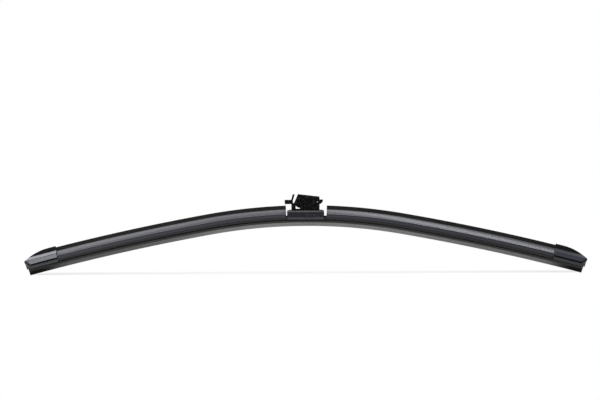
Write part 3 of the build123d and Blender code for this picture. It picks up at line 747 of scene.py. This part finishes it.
class BLADE_OT_spoilers(bpy.types.Operator):
    """Models the two spoilers: outline, ramp, fin and core traced, filled and spun along the bend"""

    bl_idname = "blade.spoilers"
    bl_label = "Spoilers"

    def execute(self, context):
        scene = context.scene
        body = spoiler_finish(scene)
        fin = fin_finish(scene)
        bend = scene.blade_bend
        low = scene.blade_spoiler.claw_low
        for side, node in ((-1, "spoiler_left"), (1, "spoiler_right")):
            corners = [abs(corner.x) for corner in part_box(node)]
            inner = station_of(bend, min(corners), low)
            outer = inner + self.run_of(bend, inner, max(corners), low)
            piece = self.model(context, node, side * inner, side * outer)
            self.mark_fin(piece, scene)
            finish_piece(piece, [body, fin], node)
        return {"FINISHED"}

    @staticmethod
    def run_of(bend, inner, reach, level):
        """Run from the inner station to the outer end, which lies on the outer stretch at that reach."""
        _, right = bend_centres(bend)
        tip = math.asin((reach - right.x) / (bend.outer_radius + level))
        join = bend.mid_radius * bend.mid_half_angle
        return join - inner + bend.outer_radius * (tip - bend.mid_half_angle)

    @staticmethod
    def model(context, node, inner, outer):
        """One spoiler between two stations."""
        strip = context.scene.blade_spoiler
        bend = context.scene.blade_bend

        def at(y, level):
            return Vector((0, y, bend.edge_height + level))

        half = strip.half_width
        claw = half - strip.claw_inset
        back = strip.fin_front + strip.fin_width
        round_tip = strip.fin_width / 2
        front_edge = at(-half, strip.skirt_top)
        ramp_root = at(strip.fin_front - strip.fin_rake, strip.ramp_top)
        claw_front = [
            at(-strip.mouth_half, strip.claw_low),
            at(-claw + strip.claw_bevel, strip.claw_low),
            at(-claw, strip.claw_low + strip.claw_bevel),
            at(-claw, strip.claw_top - strip.claw_inset),
            at(-half, strip.claw_top),
            at(-half, strip.bead_low - strip.line_height / 2),
            at(-half + strip.line_depth, strip.bead_low),
            at(-half, strip.bead_low + strip.line_height / 2),
            front_edge,
        ]
        fin_front = [ramp_root, at(strip.fin_front, strip.fin_tip - round_tip)]
        fin_back = [
            at(back, strip.fin_tip - round_tip),
            at(half, strip.skirt_top - strip.back_drop),
            at(half, strip.claw_top),
            at(claw, strip.claw_top - strip.claw_inset),
            at(claw, strip.claw_low + strip.claw_bevel),
            at(claw - strip.claw_bevel, strip.claw_low),
            at(strip.mouth_half, strip.claw_low),
        ]
        passage_right = [
            at(strip.mouth_half, strip.slot_low),
            at(strip.slot_half, strip.slot_low),
            at(strip.slot_half, strip.slot_top),
            at(strip.head_half, strip.slot_top),
            at(strip.head_half, strip.head_top),
        ]
        passage_left = [Vector((0, -point.y, point.z)) for point in reversed(passage_right)]
        piece = start_outline(context, node + "_strip", claw_front[0])
        draw_lines(claw_front)
        chord = ramp_root - front_edge
        radius = chord.length_squared / (8 * strip.ramp_hollow) + strip.ramp_hollow / 2
        away = Vector((0, -chord.z, chord.y)).normalized()
        ramp_centre = (front_edge + ramp_root) / 2 + away * (radius - strip.ramp_hollow)
        ramp_turn = 2 * math.asin(chord.length / 2 / radius)
        ramp_steps = 10
        bpy.ops.mesh.spin(steps=ramp_steps, angle=-ramp_turn, center=ramp_centre, axis=(1, 0, 0))
        draw_lines(fin_front)
        tip_centre = at(strip.fin_front + round_tip, strip.fin_tip - round_tip)
        tip_steps = 8
        bpy.ops.mesh.spin(steps=tip_steps, angle=math.pi, center=tip_centre, axis=(1, 0, 0))
        draw_lines(fin_back + passage_right + passage_left + claw_front[:1])
        weld_all()
        round_corners(piece, [front_edge, fin_back[1]], strip.skirt_round, segments=4)
        round_corners(piece, [ramp_root], strip.ramp_round, segments=5)
        core = [
            at(-strip.core_half, strip.core_low),
            at(strip.core_half, strip.core_low),
            at(back, strip.core_top),
            at(strip.fin_front - strip.fin_rake, strip.core_top),
        ]
        bpy.ops.mesh.select_all(action="DESELECT")
        bpy.ops.mesh.primitive_plane_add(size=MILLIMETRE, location=core[0])
        bpy.ops.mesh.merge(type="CENTER")
        draw_lines(core + core[:1])
        weld_all()
        bpy.ops.mesh.fill()
        bend_section(bend, inner, outer)
        return piece

    @staticmethod
    def mark_fin(piece, scene):
        """Gives the faces of the fin the second material."""
        strip = scene.blade_spoiler
        bend = scene.blade_bend
        middle, right = bend_centres(bend)
        join = math.tan(bend.mid_half_angle)
        fin_foot = strip.ramp_top + 0.1 * MILLIMETRE
        mesh = bmesh.from_edit_mesh(piece.data)
        for face in mesh.faces:
            place = face.calc_center_median()
            place.x = abs(place.x)
            flat = Vector((place.x, 0, place.z))
            outside = place.x > join * (place.z - middle.z)
            centre, radius = (right, bend.outer_radius) if outside else (middle, bend.mid_radius)
            level = (flat - centre).length - radius
            face.material_index = int(level > fin_foot)
        bmesh.update_edit_mesh(piece.data)


class BLADE_OT_mouldings(bpy.types.Operator):
    """Finishes the moulded plastic pieces: end caps, clips, cover and adapter"""

    bl_idname = "blade.mouldings"
    bl_label = "Moulded pieces"

    def execute(self, context):
        colours = context.scene.blade_colours
        clip = moulded_finish(
            "clip_plastic",
            colours.clip,
            colours.dust,
            dusty=0.8,
            scuffed=0.03,
            roughness=0.42,
            grain_size=0.35 * MILLIMETRE,
            grain_depth=0.014 * MILLIMETRE,
            shine=0.32,
            edge=0.25 * MILLIMETRE,
        )
        dress(("end_clip_left", "end_clip_right"), clip)
        adapter = moulded_finish(
            "adapter_plastic",
            colours.adapter,
            colours.dust,
            dusty=0.05,
            scuffed=0.11,
            roughness=0.5,
            grain_size=0.40 * MILLIMETRE,
            grain_depth=0.014 * MILLIMETRE,
            shine=0.03,
            edge=0.20 * MILLIMETRE,
        )
        dress(("adapter",), adapter)
        dress(("end_cap_left", "end_cap_right"), cap_finish(context.scene))
        dress(("connector_cover",), cover_finish(context.scene))
        return {"FINISHED"}


class BLADE_OT_steel(bpy.types.Operator):
    """Finishes the steel pieces: rails, bracket and pin"""

    bl_idname = "blade.steel"
    bl_label = "Steel pieces"

    def execute(self, context):
        colours = context.scene.blade_colours
        rails = steel_finish(
            "spring_steel", colours.spring, roughness=0.34, along=30, across=4200, depth=0.01 * MILLIMETRE
        )
        dress(("spring_rail_front", "spring_rail_rear"), rails)
        pin = steel_finish(
            "pin_steel", colours.pin, roughness=0.22, along=5200, across=300, depth=0.004 * MILLIMETRE
        )
        dress(("pivot_pin",), pin)
        coat = moulded_finish(
            "coated_steel",
            colours.coat,
            colours.dust,
            dusty=1.0,
            scuffed=0.05,
            roughness=0.38,
            grain_size=0.9 * MILLIMETRE,
            grain_depth=0.02 * MILLIMETRE,
            shine=0.5,
            edge=0.25 * MILLIMETRE,
        )
        dress(("connector_bracket",), coat)
        return {"FINISHED"}


def dress(nodes, material):
    """Gives CAD nodes a material."""
    for name in nodes:
        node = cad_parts[name]
        if not node.material_slots:
            node.data.materials.append(material)
        for slot in node.material_slots:
            slot.material = material


class BLADE_OT_studio(bpy.types.Operator):
    """Sets the floor, the world, the lights and the camera"""

    bl_idname = "blade.studio"
    bl_label = "Studio"

    def execute(self, context):
        studio = context.scene.blade_studio
        context.scene.view_settings.view_transform = "Standard"
        self.add_floor(context, studio)
        self.light_world(context, studio)
        self.add_lights(studio)
        self.add_camera(context, studio)
        return {"FINISHED"}

    @staticmethod
    def add_floor(context, studio):
        """A round pale floor under the blade's ends. The eye looks through it and sees only the shadow."""
        deselect_all()
        bpy.ops.mesh.primitive_circle_add(
            vertices=96,
            radius=studio.floor_radius,
            fill_type="NGON",
            location=(0, 0, CAD_BOX[0][2] - studio.floor_gap),
        )
        floor = context.object
        floor.name = "studio_floor"
        bpy.ops.object.transform_apply(location=True)
        finish = new_finish("floor_white")
        x, y, _ = finish.place()
        off = y - studio.shadow_shift
        half_length = CAD_BOX[1][0]
        across = finish.step((off * off) ** 0.5, studio.shadow_reach, 0.4 * studio.shadow_reach)
        along = finish.step((x * x) ** 0.5, half_length, 0.95 * half_length)
        open_sky = finish.node(
            "ShaderNodeAmbientOcclusion", {"samples": 16}, {"Distance": studio.shadow_height}, output="AO"
        )
        pale = studio.floor_shade
        matt = finish.node("ShaderNodeBsdfDiffuse", sockets={"Color": (pale, pale, pale, 1)})
        clear = finish.node("ShaderNodeBsdfTransparent")
        dark = finish.node("ShaderNodeBsdfTransparent", sockets={"Color": (0, 0, 0, 1)})
        film = finish.blend(studio.shadow_share * across * along * (1 - open_sky), clear, dark)
        below = finish.node("ShaderNodeNewGeometry", output="Backfacing")
        top = finish.blend(finish.shown(), matt, film)
        floor.data.materials.append(finish.end(finish.blend(below, top, clear)))

    @staticmethod
    def light_world(context, studio):
        """White to the eye and in reflections, and a softer light on matt surfaces."""
        world = bpy.data.worlds.new("studio_white")
        context.scene.world = world
        finish = Finish(world)
        strength = studio.fill + (1 - studio.fill) * finish.shown()
        light = finish.node("ShaderNodeBackground", sockets={"Color": (1, 1, 1, 1), "Strength": strength})
        finish.end(light, "ShaderNodeOutputWorld")

    @staticmethod
    def add_lights(studio):
        """Two soft boxes over and behind the blade, a broad front light, and three boxes for the left end."""
        middle = Vector((0, 0, -0.03))
        left_end = Vector((-0.285, 0, -0.055))
        boxes = (
            ("right_box", (0.39, 0.50, 1.02), (0.36, 1.30), 7.9, middle),
            ("left_box", (-0.46, 0.36, 1.06), (0.30, 1.30), 3.1, middle),
            ("front_box", (-0.3, -1.6, 1.5), (1.4, 1.0), 5.4, middle),
            ("left_end_box", (-0.72, 0.13, 1.00), (0.30, 0.50), 2.5, left_end),
            ("left_front_box", (-0.60, -1.54, 0.30), (0.50, 0.50), 6.6, left_end),
            ("left_side_box", (-1.45, -0.75, 0.25), (1.20, 0.50), 8.2, left_end),
        )
        for name, place, size, power, aim in boxes:
            lamp = bpy.data.lights.new(name, "AREA")
            lamp.shape = "RECTANGLE"
            lamp.size, lamp.size_y = size
            lamp.energy = power
            lamp.color = studio.cool
            holder = bpy.data.objects.new(name, lamp)
            bpy.context.scene.collection.objects.link(holder)
            holder.location = place
            holder.visible_camera = False
            holder.rotation_euler = (aim - holder.location).to_track_quat("-Z", "Y").to_euler()

    @staticmethod
    def add_camera(context, studio):
        """A long lens, low in front of the blade."""
        lens = bpy.data.cameras.new("camera")
        lens.sensor_fit = "HORIZONTAL"
        lens.lens = lens.sensor_width * studio.distance / studio.frame_width
        camera = bpy.data.objects.new("camera", lens)
        context.scene.collection.objects.link(camera)
        aim = Vector((studio.aim_x, 0, studio.aim_z))
        back = Vector((0, -math.cos(studio.elevation), math.sin(studio.elevation)))
        camera.location = aim + studio.distance * back
        look = (-back).to_track_quat("-Z", "Y").to_matrix()
        camera.rotation_euler = (look @ Matrix.Rotation(studio.roll, 3, "Z")).to_euler()
        context.scene.camera = camera


class BLADE_PT_sidebar(bpy.types.Panel):
    """Lists the steps and the values that a user would change."""

    bl_label = "Wiper blade"
    bl_idname = "BLADE_PT_sidebar"
    bl_space_type = "VIEW_3D"
    bl_region_type = "UI"
    bl_category = "Wiper blade"

    def draw(self, context):
        for operator in OPERATORS:
            self.layout.operator(operator.bl_idname)
        for name in GROUPS:
            group = getattr(context.scene, name)
            box = self.layout.box()
            for key in group.bl_rna.properties.keys():
                if key not in ("name", "rna_type"):
                    box.prop(group, key)


GROUPS = {
    "blade_bend": BladeBend,
    "blade_rubber": RubberStrip,
    "blade_spoiler": SpoilerStrip,
    "blade_cap": CapZones,
    "blade_colours": BladeColours,
    "blade_studio": StudioSetup,
}
OPERATORS = (
    BLADE_OT_wiper_rubber,
    BLADE_OT_spoilers,
    BLADE_OT_mouldings,
    BLADE_OT_steel,
    BLADE_OT_studio,
)


def register():
    """Registers the classes and hangs the property groups on the scene."""
    for cls in (*GROUPS.values(), *OPERATORS, BLADE_PT_sidebar):
        bpy.utils.register_class(cls)
    for name, group in GROUPS.items():
        setattr(bpy.types.Scene, name, bpy.props.PointerProperty(type=group))


def unregister():
    """Takes the property groups and the classes away again."""
    for name in GROUPS:
        delattr(bpy.types.Scene, name)
    for cls in (BLADE_PT_sidebar, *reversed(OPERATORS), *reversed(GROUPS.values())):
        bpy.utils.unregister_class(cls)


def main():
    """Builds the scene step by step."""
    register()
    bpy.ops.blade.wiper_rubber()
    bpy.ops.blade.spoilers()
    bpy.ops.blade.mouldings()
    bpy.ops.blade.steel()
    bpy.ops.blade.studio()


if __name__ == "__main__":
    main()
